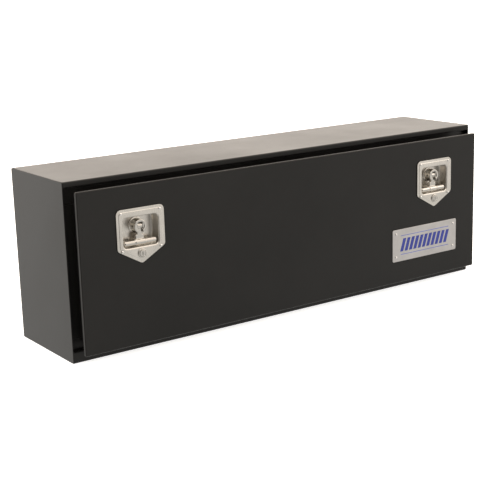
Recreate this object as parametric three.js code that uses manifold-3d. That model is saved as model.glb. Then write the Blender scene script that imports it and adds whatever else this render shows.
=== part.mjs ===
// A truck tool box of bent sheet steel, with a drop-down door on a piano hinge and two latches
// with folding T-handles. Millimetres: +X to the right, +Y to the back, +Z up. The origin is
// under the middle of the whole box.
import * as THREE from "three";
import { mergeVertices } from "three/addons/utils/BufferGeometryUtils.js";
import Module from "manifold-3d";

const wasm = await Module();
wasm.setup();

// ---- Driving dimensions ------------------------------------------------------------------

const gap = 0.3; // between pieces that touch
const pinPlay = 0.3; // round a pin in its hole

// Body
const bodyLength = 1219.2;
const bodyHeight = 406.4;
const bodyDepth = 258;
const sheet = 1.9;
const bendRadius = 1.5; // inside a bend
const bendSteps = 3;
const topRailHeight = 14.5;
const bottomRailHeight = 27;
const frameDepth = 14; // from the front plane back to the seal flanges

// Door
const doorProud = 37; // door face in front of the body's front plane
const doorSideInset = 12.9;
const doorTopInset = 18.4;
const doorRailLap = 4; // door edge below the top of the bottom rail
const doorReturn = 8;
const doorCorner = 3.5;
const doorEdgeRound = 3;
const doorSealGap = 1; // inner pan's back to the body's front plane
const panInset = 16; // inner pan's wall inside the door's edge
const panSheet = 1.5;
const panCorner = 14;
const panFlange = 9;

// Seal
const sealWidth = 12;
const sealInset = 3; // inside the inner pan's wall
const sealCorner = 12;
const flangeInset = 3; // seal flange's edge inside the seal

// Hinge
const hingeForward = 11; // pin in front of the body's front plane
const hingeLength = 1120;
const hingeKnuckles = 15;
const knuckleRadius = 3.2;
const hingePinRadius = 1.4;
const leafThickness = 1.5;
const leafMargin = 1.8; // moving leaf's edge behind the inner pan's flange
const knuckleGap = 0.6;

// Badge plate
const badgeWidth = 228.6;
const badgeHeight = 85.3;
const badgeThickness = 1.2;
const badgeCorner = 4.5;
const badgeX = 413.5;
const badgeRaise = 6; // above the middle of the space under a latch
const badgeRivetInset = 12;

// Latch: places are from the handle's pivot, which is in the middle of the hub
const latchSpacing = 890;
const latchDrop = 113.4; // pivot below the top of the body
const latchPlateWidth = 121.2;
const latchPlateTop = 42.7;
const latchPlateShoulder = -49;
const latchPlateTip = -82;
const latchPlateCorner = 12;
const latchShoulderCorner = 10;
const latchTipCorner = 9;
const latchSheet = 1.5;
const gasketThickness = 1;
const gasketInset = 1.5;
const wellWidth = 89;
const wellTop = 23;
const wellBottom = -45.4;
const wellDepth = 25;
const wellCorner = 9;

const hubRadius = 15.5;
const hubFlangeRadius = 18.5;
const hubFlangeThickness = 2.5;
const hubDishRadius = 10;
const hubDishDepth = 2;
const hubRecess = 1.5; // hub's face behind the plate's face
const slotWidth = 13;
const slotTop = 9;
const slotDepth = 18.6;
const pivotDepth = 9.5; // behind the hub's face
const pivotRadius = 2.2;
const pivotHalfLength = 13.5;

const tangRadius = 7.5;
const stemThickness = 8;
const webWidth = 21; // where the stem meets the T-bar
const webTop = -18.5;
const webCorner = 3;
const barDrop = 36; // T-bar below the pivot
const barForward = 2;
const barRadius = 6.5;
const barLength = 83;
const barEndRound = 3.5;
const saddleRadius = 7.4;
const saddleLength = 27;

const spindleRadius = 5;
const spindleSquare = 7;
const threadRadius = 3.4;
const threadLength = 8.4;
const spindlePlay = 0.6;
const camThickness = 3.5;
const camEyeRadius = 11;
const camReach = 84;
const camTipRadius = 7;
const nutRadius = 7.5;
const nutThickness = 6;

const keeperWidth = 44;
const keeperHeight = 28;
const keeperThickness = 2;
const keeperDrop = 2; // above the flange's edge
const keeperClearance = 0.8;

const lockDrop = 60.6; // lock below the pivot
const lockRimRadius = 10.7;
const lockRimThickness = 2.2;
const lockBodyRadius = 9;
const lockBodyLength = 18;
const plugRadius = 7.4;
const lockPlay = 0.4;
const keywayWidth = 1.6;
const keywayHeight = 8;
const keywayDepth = 3;

// Rivets
const rivetHeadRadius = 3.2;
const rivetHeadHeight = 1.6;
const rivetShankRadius = 1.6;
const rivetTail = 3; // shank past the door sheet
const plateRivetX = 49.2;
const plateRivetTop = 33.5;
const plateRivetBottom = -51;

// ---- Places worked out from them ---------------------------------------------------------

const halfLength = bodyLength / 2;
const innerHalfLength = halfLength - sheet - gap;
const outerBend = bendRadius + sheet;
const flangeBack = frameDepth + sheet;

const doorHalf = halfLength - doorSideInset;
const doorTop = bodyHeight - doorTopInset;
const doorBottom = bottomRailHeight - doorRailLap;
const hingeZ = bottomRailHeight + gap + knuckleRadius;
const hingeY = -hingeForward;
const panFront = sheet + gap; // behind the door's face

const pan = {
  left: -doorHalf + panInset,
  right: doorHalf - panInset,
  bottom: hingeZ + knuckleRadius + gap,
  top: doorTop - panInset,
};
const seal = inset(pan, sealInset);
const opening = inset(pan, sealInset + sealWidth + flangeInset);

const latchX = latchSpacing / 2;
const latchZ = bodyHeight - latchDrop;
const badgeZ = (latchZ + latchPlateTip + doorBottom) / 2 + badgeRaise;
// In a latch's own frame, y is 0 on the door's face
const gasketFront = -gap - gasketThickness;
const plateBack = gasketFront - gap;
const plateFront = plateBack - latchSheet;
const floorFront = plateFront + wellDepth;
const floorBack = floorFront + latchSheet;
const hubFace = plateFront + hubRecess;
const pivotY = hubFace + pivotDepth;
const barY = pivotY - barForward;
const keeperFront = doorProud + flangeBack + gap;
const camFront = keeperFront + keeperThickness + keeperClearance;
const nutFront = camFront + camThickness + gap;
const lockRimFront = plateFront - gap - lockRimThickness;
const plugFront = lockRimFront - gap;

const frontProud = doorProud - plugFront;
const bodyFrontY = (frontProud - bodyDepth) / 2;

// ---- Shapes and solids -------------------------------------------------------------------

function inset(box, by) {
  return { left: box.left + by, right: box.right - by, bottom: box.bottom + by, top: box.top - by };
}

// A closed outline whose corners, listed as [x, y, radius], are rounded.
function roundedOutline(corners) {
  const shape = new THREE.Shape();
  const place = ([x, y]) => new THREE.Vector2(x, y);
  corners.forEach((corner, i) => {
    const here = place(corner);
    const radius = corner[2];
    const before = place(corners.at(i - 1)).sub(here).normalize();
    const after = place(corners[(i + 1) % corners.length]).sub(here).normalize();
    const half = Math.acos(before.dot(after)) / 2;
    const bisector = before.clone().add(after).normalize();
    const centre = here.clone().addScaledVector(bisector, radius / Math.sin(half));
    const start = here.clone().addScaledVector(before, radius / Math.tan(half)).sub(centre);
    const end = here.clone().addScaledVector(after, radius / Math.tan(half)).sub(centre);
    const clockwise = before.cross(after) > 0;
    shape.absarc(centre.x, centre.y, radius, start.angle(), end.angle(), clockwise);
  });
  return shape;
}

function roundedBox(box, radius) {
  return roundedOutline([
    [box.left, box.bottom, radius],
    [box.right, box.bottom, radius],
    [box.right, box.top, radius],
    [box.left, box.top, radius],
  ]);
}

// The section of a bent sheet: one face follows the points, and the sheet is on their left.
function bentSheet(points) {
  const places = points.map(([x, y]) => new THREE.Vector2(x, y));
  const face = [];
  const back = [];
  const heading = (i) => places[i + 1].clone().sub(places[i]).normalize();
  const leftOf = (way) => new THREE.Vector2(-way.y, way.x);
  const end = places.length - 1;
  face.push(places[0]);
  back.push(places[0].clone().addScaledVector(leftOf(heading(0)), sheet));
  for (let i = 1; i < end; i++) {
    const before = heading(i - 1);
    const turn = Math.atan2(before.cross(heading(i)), before.dot(heading(i)));
    const side = Math.sign(turn);
    const radius = side > 0 ? bendRadius + sheet : bendRadius;
    const start = places[i].clone().addScaledVector(before, -radius * Math.tan(Math.abs(turn) / 2));
    const centre = start.addScaledVector(leftOf(before), side * radius);
    for (let k = 0; k <= bendSteps; k++) {
      const spoke = leftOf(before).multiplyScalar(-side);
      spoke.rotateAround(new THREE.Vector2(), (turn * k) / bendSteps);
      face.push(centre.clone().addScaledVector(spoke, radius));
      back.push(centre.clone().addScaledVector(spoke, radius - side * sheet));
    }
  }
  face.push(places[end]);
  back.push(places[end].clone().addScaledVector(leftOf(heading(end - 1)), sheet));
  return new THREE.Shape([...face, ...back.reverse()]);
}

function extrude(shape, depth, options = {}) {
  return new THREE.ExtrudeGeometry(shape, { depth, bevelEnabled: false, curveSegments: 2, ...options });
}

// A (y, z) section carried along X.
function alongX(shape, from, to) {
  const axes = new THREE.Matrix4().makeBasis(
    new THREE.Vector3(0, 1, 0),
    new THREE.Vector3(0, 0, 1),
    new THREE.Vector3(1, 0, 0),
  );
  return extrude(shape, to - from).applyMatrix4(axes).translate(from, 0, 0);
}

// An (x, z) outline carried along Y.
function alongY(shape, from, to, options = {}) {
  return extrude(shape, to - from, options).rotateX(Math.PI / 2).translate(0, to, 0);
}

function block(x0, x1, y0, y1, z0, z1) {
  const geometry = new THREE.BoxGeometry(x1 - x0, y1 - y0, z1 - z0);
  return geometry.translate((x0 + x1) / 2, (y0 + y1) / 2, (z0 + z1) / 2);
}

function rodX(radius, from, to, y, z, sides = 16) {
  const rod = new THREE.CylinderGeometry(radius, radius, to - from, sides);
  return rod.rotateZ(Math.PI / 2).translate((from + to) / 2, y, z);
}

function rodY(radius, from, to, x, z, sides = 16) {
  const rod = new THREE.CylinderGeometry(radius, radius, to - from, sides);
  return rod.translate(x, (from + to) / 2, z);
}

// A closed profile of [radius, y] points, listed from high y to low y, turned about the Y axis.
function turned(profile, sides = 16) {
  const points = profile.map(([radius, y]) => new THREE.Vector2(radius, y));
  return new THREE.LatheGeometry(points.reverse(), sides);
}

function solid(geometry) {
  const loose = geometry.index ? geometry.toNonIndexed() : geometry;
  const bare = new THREE.BufferGeometry().setAttribute("position", loose.getAttribute("position"));
  const merged = mergeVertices(bare, 1e-4);
  return new wasm.Manifold(
    new wasm.Mesh({
      numProp: 3,
      vertProperties: merged.getAttribute("position").array,
      triVerts: new Uint32Array(merged.index.array),
    }),
  );
}

function geometryOf(body) {
  const mesh = body.getMesh();
  const geometry = new THREE.BufferGeometry();
  geometry.setAttribute("position", new THREE.BufferAttribute(mesh.vertProperties, 3));
  geometry.setIndex(new THREE.BufferAttribute(mesh.triVerts, 1));
  return geometry;
}

function joined(...geometries) {
  return geometryOf(geometries.map(solid).reduce((whole, piece) => whole.add(piece)));
}

function cut(geometry, ...tools) {
  return geometryOf(tools.map(solid).reduce((rest, tool) => rest.subtract(tool), solid(geometry)));
}

// ---- Materials ---------------------------------------------------------------------------

const finish = (color, roughness, metalness) => ({ color, roughness, metalness });
const blackPaint = finish(0x2b2a28, 0.45, 0.1);
const greyPaint = finish(0x4a4846, 0.5, 0.1);
const rubber = finish(0x0c0c0c, 0.8, 0);
const stainless = finish(0xb9b7b2, 0.3, 1);
const zinc = finish(0x9a9890, 0.45, 1);
const printed = finish(0xaab4bd, 0.35, 0.8);

function add(group, name, geometry, look) {
  const mesh = new THREE.Mesh(geometry, new THREE.MeshStandardMaterial(look));
  mesh.name = name;
  group.add(mesh);
  return mesh;
}

// ---- Body --------------------------------------------------------------------------------

function addBody(box) {
  const topLip = bodyHeight - topRailHeight;
  const wrapper = bentSheet([
    [frameDepth, opening.bottom],
    [frameDepth, bottomRailHeight],
    [0, bottomRailHeight],
    [0, 0],
    [bodyDepth, 0],
    [bodyDepth, bodyHeight],
    [0, bodyHeight],
    [0, topLip],
    [frameDepth, topLip],
    [frameDepth, opening.top],
  ]);
  add(box, "body_shell", alongX(wrapper, -innerHalfLength, innerHalfLength), blackPaint);

  const end = roundedBox({ left: 0, right: bodyDepth, bottom: 0, top: bodyHeight }, outerBend);
  add(box, "left_end_panel", alongX(end, -halfLength, -halfLength + sheet), greyPaint);
  add(box, "right_end_panel", alongX(end, halfLength - sheet, halfLength), greyPaint);

  const legX = -innerHalfLength + sheet;
  const jamb = bentSheet([
    [legX, sheet + gap],
    [legX, frameDepth],
    [opening.left, frameDepth],
  ]);
  const jambHeight = opening.top - opening.bottom - 2 * gap;
  const leftJamb = extrude(jamb, jambHeight).translate(0, 0, opening.bottom + gap);
  add(box, "left_jamb", leftJamb, blackPaint);
  add(box, "right_jamb", leftJamb.clone(), blackPaint).scale.x = -1;

  const ring = roundedBox(seal, sealCorner);
  ring.holes.push(roundedBox(inset(seal, sealWidth), sealCorner - sealWidth / 2));
  add(box, "door_seal", alongY(ring, -doorSealGap + gap, frameDepth - gap), rubber);
}

// ---- Hinge -------------------------------------------------------------------------------

// The knuckles of one leaf, each with its tab: every second one, from the first.
function knuckles(first, tabBottom, tabTop, tabEnd) {
  const pitch = hingeLength / hingeKnuckles;
  const pieces = [];
  for (let i = first; i < hingeKnuckles; i += 2) {
    const from = -hingeLength / 2 + i * pitch + knuckleGap / 2;
    const to = from + pitch - knuckleGap;
    pieces.push(rodX(knuckleRadius, from, to, hingeY, hingeZ, 10));
    const near = Math.min(tabEnd, hingeY);
    const far = Math.max(tabEnd, hingeY);
    pieces.push(block(from, to, near, far, tabBottom, tabTop));
  }
  return pieces;
}

function addHinge(box) {
  const half = hingeLength / 2;
  const bore = rodX(hingePinRadius + pinPlay, -half - 1, half + 1, hingeY, hingeZ, 10);
  const clear = knuckleRadius + gap;

  const fixedBottom = hingeZ - knuckleRadius;
  const fixedTop = fixedBottom + leafThickness;
  const fixedFront = hingeY + clear;
  const fixedBack = frameDepth - bendRadius - gap;
  const fixedLeaf = joined(
    block(-half, half, fixedFront, fixedBack, fixedBottom, fixedTop),
    ...knuckles(0, fixedBottom, fixedTop, fixedFront + 1),
  );
  add(box, "hinge_body_leaf", cut(fixedLeaf, bore), zinc);

  const movingTop = hingeZ + knuckleRadius;
  const movingBottom = movingTop - leafThickness;
  const movingBack = hingeY - clear;
  const movingFront = -doorProud + panFront + panSheet + leafMargin;
  const movingLeaf = joined(
    block(-half, half, movingFront, movingBack, movingBottom, movingTop),
    ...knuckles(1, movingBottom, movingTop, movingBack - 1),
  );
  add(box, "hinge_door_leaf", cut(movingLeaf, bore), zinc);

  add(box, "hinge_pin", rodX(hingePinRadius, -half, half, hingeY, hingeZ, 10), zinc);
}

// ---- Door --------------------------------------------------------------------------------

const rivetHole = (x, z, from, to) => rodY(rivetShankRadius + pinPlay, from, to, x, z, 8);

const badgeRivetPlaces = [];
for (const x of [badgeX - badgeWidth / 2 + badgeRivetInset, badgeX + badgeWidth / 2 - badgeRivetInset]) {
  for (const z of [badgeZ - badgeHeight / 2 + badgeRivetInset, badgeZ + badgeHeight / 2 - badgeRivetInset]) {
    badgeRivetPlaces.push([x, z]);
  }
}

const plateRivetPlaces = [];
for (const x of [-plateRivetX, plateRivetX]) {
  for (const z of [plateRivetBottom, plateRivetTop]) plateRivetPlaces.push([x, z]);
}

const well = { left: -wellWidth / 2, right: wellWidth / 2, bottom: wellBottom, top: wellTop };
const wellOutside = inset(well, -latchSheet);
const lockHoleRadius = lockBodyRadius + lockPlay;

// The holes that one latch needs in the door's skin or its gasket, in the latch's own frame.
function latchHoles(from, to) {
  return [
    alongY(roundedBox(inset(wellOutside, -gap), wellCorner + latchSheet + gap), from, to),
    rodY(lockHoleRadius, from, to, 0, -lockDrop),
    ...plateRivetPlaces.map(([x, z]) => rivetHole(x, z, from, to)),
  ];
}

// The door is built in a frame whose y is 0 on the door's face.
function addDoor(door) {
  const edge = { left: -doorHalf, right: doorHalf, bottom: doorBottom, top: doorTop };
  const rounded = {
    bevelEnabled: true,
    bevelThickness: doorEdgeRound,
    bevelSize: doorEdgeRound,
    bevelOffset: -doorEdgeRound,
    bevelSegments: 3,
  };
  const outline = roundedBox(edge, doorCorner);
  const slab = alongY(outline, doorEdgeRound, doorReturn + doorEdgeRound, rounded);
  const behind = block(-halfLength, halfLength, doorReturn, doorReturn * 3, 0, bodyHeight);
  const inside = alongY(roundedBox(inset(edge, sheet), doorCorner - sheet), sheet, doorReturn * 3);
  const holes = [];
  for (const x of [-latchX, latchX]) {
    for (const hole of latchHoles(-1, sheet + 1)) holes.push(hole.translate(x, 0, latchZ));
  }
  for (const [x, z] of badgeRivetPlaces) holes.push(rivetHole(x, z, -1, sheet + 1));
  add(door, "door_skin", cut(slab, behind, inside, ...holes), blackPaint);

  const panBack = doorProud - doorSealGap;
  const flange = { ...inset(pan, -panFlange), bottom: doorBottom + sheet + gap };
  const tray = joined(
    alongY(roundedBox(pan, panCorner), panFront, panBack),
    alongY(roundedBox(flange, panCorner), panFront, panFront + panSheet),
  );
  const hollow = alongY(roundedBox(inset(pan, panSheet), panCorner - panSheet), 0, panBack - panSheet);
  const spindleHole = (x) => rodY(spindleRadius + spindlePlay, 0, doorProud, x, latchZ, 12);
  add(door, "door_inner_pan", cut(tray, hollow, spindleHole(-latchX), spindleHole(latchX)), blackPaint);

  const badge = roundedBox(
    {
      left: badgeX - badgeWidth / 2,
      right: badgeX + badgeWidth / 2,
      bottom: badgeZ - badgeHeight / 2,
      top: badgeZ + badgeHeight / 2,
    },
    badgeCorner,
  );
  const badgeFront = -gap - badgeThickness;
  const badgeHoles = badgeRivetPlaces.map(([x, z]) => rivetHole(x, z, badgeFront - 1, 1));
  add(door, "badge_plate", cut(alongY(badge, badgeFront, -gap), ...badgeHoles), printed);
  badgeRivetPlaces.forEach((place, i) => addRivet(door, `badge_rivet_${i + 1}`, place, badgeFront));
}

// A blind rivet whose domed head sits in front of the face at y.
function addRivet(group, name, [x, z], y) {
  const seat = y - gap;
  const profile = [
    [0, sheet + rivetTail],
    [rivetShankRadius, sheet + rivetTail],
    [rivetShankRadius, seat],
    [rivetHeadRadius, seat],
    [rivetHeadRadius * 0.92, seat - rivetHeadHeight * 0.5],
    [rivetHeadRadius * 0.55, seat - rivetHeadHeight],
    [0, seat - rivetHeadHeight],
  ];
  add(group, name, turned(profile, 8), stainless).position.set(x, 0, z);
}

// ---- Latch -------------------------------------------------------------------------------

// A rod along X through (y, z) whose ends are rounded.
function roundedRod(radius, length, round, y, z) {
  const half = length / 2;
  const profile = [[0, half]];
  for (let k = 3; k >= 0; k--) {
    const angle = (Math.PI / 2) * (k / 3);
    profile.push([radius - round + round * Math.cos(angle), half - round + round * Math.sin(angle)]);
  }
  const mirrored = profile.map(([r, along]) => [r, -along]).reverse();
  return turned([...profile, ...mirrored]).rotateZ(Math.PI / 2).translate(0, y, z);
}

// The height at which the plate's two slanted edges would meet, if its tip weren't rounded.
function sharpTip(halfPlate) {
  let point = latchPlateTip;
  for (let i = 0; i < 20; i++) {
    const slant = Math.atan2(latchPlateShoulder - point, halfPlate);
    point = latchPlateTip - latchTipCorner * (1 / Math.cos(slant) - 1);
  }
  return point;
}

// A latch in its own frame: the origin is on the door's face at the height of the handle's pivot.
// The released cam points along X, to the side given as inward.
function addLatch(door, side, x, inward) {
  const latch = new THREE.Group();
  latch.position.set(x, 0, latchZ);
  door.add(latch);

  const halfPlate = latchPlateWidth / 2;
  const latchTipPoint = sharpTip(halfPlate);
  const plateOutline = (by) =>
    roundedOutline([
      [-halfPlate + by, latchPlateTop - by, latchPlateCorner - by],
      [-halfPlate + by, latchPlateShoulder, latchShoulderCorner],
      [0, latchTipPoint + by, latchTipCorner],
      [halfPlate - by, latchPlateShoulder, latchShoulderCorner],
      [halfPlate - by, latchPlateTop - by, latchPlateCorner - by],
    ]);
  const pressing = joined(
    alongY(plateOutline(0), plateFront, plateBack),
    alongY(roundedBox(wellOutside, wellCorner + latchSheet), plateFront, floorBack),
  );
  const plate = cut(
    pressing,
    alongY(roundedBox(well, wellCorner), plateFront - 1, floorFront),
    rodY(spindleRadius + spindlePlay, floorFront - 1, floorBack + 1, 0, 0, 12),
    rodY(lockHoleRadius, plateFront - 1, plateBack + 1, 0, -lockDrop),
    ...plateRivetPlaces.map(([rx, rz]) => rivetHole(rx, rz, plateFront - 1, plateBack + 1)),
  );
  add(latch, `${side}_latch_plate`, plate, stainless);

  const gasket = alongY(plateOutline(gasketInset), gasketFront, -gap);
  const gasketHoles = latchHoles(gasketFront - 1, 1);
  add(latch, `${side}_latch_gasket`, cut(gasket, ...gasketHoles), rubber);

  const hubBack = floorFront - gap;
  const hub = joined(
    rodY(hubRadius, hubFace, hubBack, 0, 0, 24),
    rodY(hubFlangeRadius, hubBack - hubFlangeThickness, hubBack, 0, 0, 24),
  );
  const dish = rodY(hubDishRadius, hubFace - 1, hubFace + hubDishDepth, 0, 0, 20);
  const slotBack = hubFace + slotDepth;
  const slot = block(-slotWidth / 2, slotWidth / 2, hubFace - 1, slotBack, -hubFlangeRadius, slotTop);
  const pivotBore = rodX(pivotRadius + pinPlay, -hubRadius - 1, hubRadius + 1, pivotY, 0, 12);
  const spindleBore = rodY(spindleRadius + spindlePlay, hubFace, hubBack + 1, 0, 0, 12);
  const openBore = cut(spindleBore, block(-hubRadius, hubRadius, hubFace - 1, slotBack - 1, -hubRadius, hubRadius));
  add(latch, `${side}_hub`, cut(hub, dish, slot, pivotBore, openBore), stainless);

  add(
    latch,
    `${side}_pivot_pin`,
    rodX(pivotRadius, -pivotHalfLength, pivotHalfLength, pivotY, 0, 12),
    zinc,
  );

  const halfTang = slotWidth / 2 - gap;
  const halfStem = stemThickness / 2;
  const web = roundedBox({ left: -webWidth / 2, right: webWidth / 2, bottom: -barDrop, top: webTop }, webCorner);
  const handle = joined(
    rodX(tangRadius, -halfTang, halfTang, pivotY, 0, 20),
    block(-halfTang, halfTang, pivotY - halfStem, pivotY + halfStem, -barDrop, 0),
    alongY(web, pivotY - halfStem, pivotY + halfStem),
    roundedRod(barRadius, barLength, barEndRound, barY, -barDrop),
    roundedRod(saddleRadius, saddleLength, saddleRadius - barRadius, barY, -barDrop),
  );
  add(latch, `${side}_handle`, cut(handle, pivotBore), stainless);

  const spindleFront = slotBack + gap;
  const halfSquare = spindleSquare / 2;
  const spindle = joined(
    rodY(spindleRadius, spindleFront, camFront - gap, 0, 0, 16),
    block(-halfSquare, halfSquare, camFront - 2, nutFront - gap, -halfSquare, halfSquare),
    rodY(threadRadius, camFront, nutFront + threadLength, 0, 0, 12),
  );
  add(latch, `${side}_spindle`, spindle, zinc);

  const halfHole = halfSquare + gap;
  const camBack = camFront + camThickness;
  const arm = roundedOutline([
    [-camEyeRadius, -camEyeRadius, camEyeRadius * 0.9],
    [camReach, -camTipRadius, camTipRadius * 0.8],
    [camReach, camTipRadius, camTipRadius * 0.8],
    [-camEyeRadius, camEyeRadius, camEyeRadius * 0.9],
  ]);
  const squareHole = block(-halfHole, halfHole, camFront - 1, camBack + 1, -halfHole, halfHole);
  const cam = cut(alongY(arm, camFront, camBack), squareHole);
  add(latch, `${side}_cam`, cam, zinc).scale.x = inward;

  const nut = cut(
    rodY(nutRadius, nutFront, nutFront + nutThickness, 0, 0, 6),
    rodY(threadRadius + pinPlay, nutFront - 1, nutFront + nutThickness + 1, 0, 0, 12),
  );
  add(latch, `${side}_cam_nut`, nut, zinc);

  const lockBack = plateFront - gap + lockBodyLength;
  const housing = joined(
    rodY(lockRimRadius, lockRimFront, plateFront - gap, 0, 0, 24),
    rodY(lockBodyRadius, lockRimFront + 1, lockBack, 0, 0, 20),
  );
  const plugBore = rodY(plugRadius + lockPlay, lockRimFront - 1, lockBack + 1, 0, 0, 20);
  add(latch, `${side}_lock_housing`, cut(housing, plugBore), zinc).position.z = -lockDrop;

  const halfKey = keywayWidth / 2;
  const keyway = block(
    -halfKey,
    halfKey,
    plugFront - 1,
    plugFront + keywayDepth,
    -keywayHeight / 2,
    keywayHeight / 2,
  );
  const plug = cut(rodY(plugRadius, plugFront, lockBack, 0, 0, 20), keyway);
  add(latch, `${side}_lock_plug`, plug, zinc).position.z = -lockDrop;

  plateRivetPlaces.forEach((place, i) =>
    addRivet(latch, `${side}_plate_rivet_${i + 1}`, place, plateFront),
  );
}

// The plate behind the top flange that a raised cam pulls on.
function addKeeper(box, side, x) {
  const bottom = opening.top + keeperDrop;
  const front = flangeBack + gap;
  const half = keeperWidth / 2;
  const outline = roundedBox({ left: x - half, right: x + half, bottom, top: bottom + keeperHeight }, 4);
  add(box, `${side}_keeper`, alongY(outline, front, front + keeperThickness), zinc);
}

// ---- The whole box -----------------------------------------------------------------------

const toolBox = new THREE.Group();
toolBox.name = "truck_tool_box";

// In this group y is 0 on the body's front plane.
const box = new THREE.Group();
box.position.y = bodyFrontY;
toolBox.add(box);

const door = new THREE.Group();
door.position.y = -doorProud;
box.add(door);

addBody(box);
addHinge(box);
addDoor(door);
addLatch(door, "left", -latchX, 1);
addLatch(door, "right", latchX, -1);
addKeeper(box, "left", -latchX);
addKeeper(box, "right", latchX);

export default toolBox;
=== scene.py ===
"""The looks of a truck tool box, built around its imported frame: painted sheet metal, a rubber
bulb seal, a piano hinge, folding T-handle latches and a printed badge."""

import math

import bmesh
import bpy
from bpy.props import FloatProperty, FloatVectorProperty, IntProperty, PointerProperty
from bpy.types import Operator, Panel, PropertyGroup
from mathutils import Matrix, Vector


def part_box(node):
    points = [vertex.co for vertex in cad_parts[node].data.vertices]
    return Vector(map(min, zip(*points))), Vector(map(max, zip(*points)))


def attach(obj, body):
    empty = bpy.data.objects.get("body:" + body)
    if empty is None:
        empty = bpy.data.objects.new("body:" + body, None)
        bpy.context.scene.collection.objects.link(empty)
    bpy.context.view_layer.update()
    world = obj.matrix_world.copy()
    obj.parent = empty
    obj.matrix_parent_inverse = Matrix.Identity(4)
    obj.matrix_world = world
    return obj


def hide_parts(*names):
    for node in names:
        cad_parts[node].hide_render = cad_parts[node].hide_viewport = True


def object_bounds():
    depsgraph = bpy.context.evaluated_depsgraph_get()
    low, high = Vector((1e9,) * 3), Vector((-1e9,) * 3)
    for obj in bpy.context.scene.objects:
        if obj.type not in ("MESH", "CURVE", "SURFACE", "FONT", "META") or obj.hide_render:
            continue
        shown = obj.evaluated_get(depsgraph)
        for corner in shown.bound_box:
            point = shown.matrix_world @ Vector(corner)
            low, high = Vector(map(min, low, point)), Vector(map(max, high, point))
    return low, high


bl_info = {
    "name": "Truck tool box",
    "version": (1, 0, 0),
    "blender": (4, 5, 0),
    "location": "3D View > Sidebar > Tool box",
    "description": "Builds a painted steel tool box with a drop-down door and T-handle latches",
    "category": "Object",
}

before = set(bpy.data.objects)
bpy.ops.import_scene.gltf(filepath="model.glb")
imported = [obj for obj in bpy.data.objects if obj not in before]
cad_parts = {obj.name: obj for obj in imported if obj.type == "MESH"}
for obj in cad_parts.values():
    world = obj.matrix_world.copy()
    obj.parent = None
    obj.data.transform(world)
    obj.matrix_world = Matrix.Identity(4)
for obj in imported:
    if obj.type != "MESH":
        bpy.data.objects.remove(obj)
CAD_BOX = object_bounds()
SIDES = ("left", "right")
MM = 0.001
GAP = 0.3 * MM  # between pieces that touch
QUARTER = [math.radians(15 * k) for k in range(7)]  # the angles of a quarter round
CROWN = (0, 0.3, 0.6, 0.9, 1.2, math.pi / 2)  # those of a small round rim

# Places that every piece shares, from the frame
SHELL_LOW, SHELL_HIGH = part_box("body_shell")
END_LOW, END_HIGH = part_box("left_end_panel")
JAMB_LOW, JAMB_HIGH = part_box("left_jamb")
SEAL_LOW, SEAL_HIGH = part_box("door_seal")
SKIN_LOW, SKIN_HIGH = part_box("door_skin")
PAN_LOW, PAN_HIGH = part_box("door_inner_pan")
SHEET = END_HIGH.x - END_LOW.x
FRONT = SHELL_LOW.y  # the body's front plane
DOOR_FACE = SKIN_LOW.y


def length(name, text, default):
    return FloatProperty(name=name, description=text, default=default, min=0.0, unit="LENGTH")


def amount(name, text, default):
    return FloatProperty(name=name, description=text, default=default, min=0.0)


def colour(name, text, default):
    return FloatVectorProperty(
        name=name, description=text, subtype="COLOR", default=default, min=0.0, max=1.0
    )


# ---- Settings ----------------------------------------------------------------------------


class FinishSettings(PropertyGroup):
    """Colours and surfaces of the materials."""

    paint: colour("Paint", "Colour of the powder coat", (0.0062, 0.0060, 0.0056))
    paint_roughness: amount("Paint roughness", "How dull the powder coat is", 0.34)
    paint_specular: amount("Paint specular", "Strength of the powder coat's reflections", 0.31)
    paint_grain: amount("Paint grain", "Grains in a metre of powder coat", 1400.0)
    steel: colour("Stainless", "Colour of the stainless steel", (0.79, 0.76, 0.71))
    steel_roughness: amount("Stainless roughness", "How dull the stainless steel is", 0.3)
    zinc: colour("Zinc", "Colour of the zinc plating", (0.58, 0.56, 0.52))
    zinc_roughness: amount("Zinc roughness", "How dull the zinc plating is", 0.36)
    rivet_metal: colour("Rivets", "Colour of the rivets' bright metal", (0.95, 0.94, 0.92))
    rubber: colour("Rubber", "Colour of the seal and gaskets", (0.010, 0.010, 0.011))
    badge_metal: colour("Badge metal", "Colour of the badge's bare metal", (0.68, 0.66, 0.65))
    badge_bold: colour("Badge blue", "Colour of the badge's bold stripes", (0.018, 0.032, 0.24))
    badge_pale: colour("Badge pale blue", "Colour of the badge's thin rules", (0.12, 0.15, 0.40))


class BodySettings(PropertyGroup):
    """Sizes of the folded body."""

    bend: length("Bend radius", "Inside radius of each fold", 1.5 * MM)
    bend_steps: IntProperty(name="Bend steps", description="Facets in each fold", default=8, min=1)
    top_rail: length("Top rail", "Height of the lip above the door", 14.5 * MM)
    edge: length("Edge round", "Rounding of the end sheets' edges", 0.7 * MM)


class DoorSettings(PropertyGroup):
    """Sizes of the door's two pans."""

    nick: length("Nick", "Rounding of the folded edge's rim", 0.4 * MM)
    corner: length("Corner", "Radius of the door's corners", 3.5 * MM)
    edge: length("Edge round", "Radius of the fold round the door's face", 2.5 * MM)
    pan_inset: length("Pan inset", "Inner pan's wall inside the door's edge", 16 * MM)
    pan_sheet: length("Pan sheet", "Thickness of the inner pan", 1.5 * MM)
    pan_corner: length("Pan corner", "Radius of the inner pan's corners", 14 * MM)
    pan_fold: length("Pan fold", "Radius of the fold at the inner pan's back", 4 * MM)
    field_margin: length("Pressed field margin", "From the pan's wall to its pressed field", 34 * MM)
    field_depth: length("Pressed field depth", "Depth of the inner pan's stiffening press", 3.5 * MM)
    field_slope: length("Pressed field slope", "Width of the slope round the pressed field", 5 * MM)
    spindle_room: length("Spindle room", "Play round a spindle where it passes the pan", 0.6 * MM)


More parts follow.
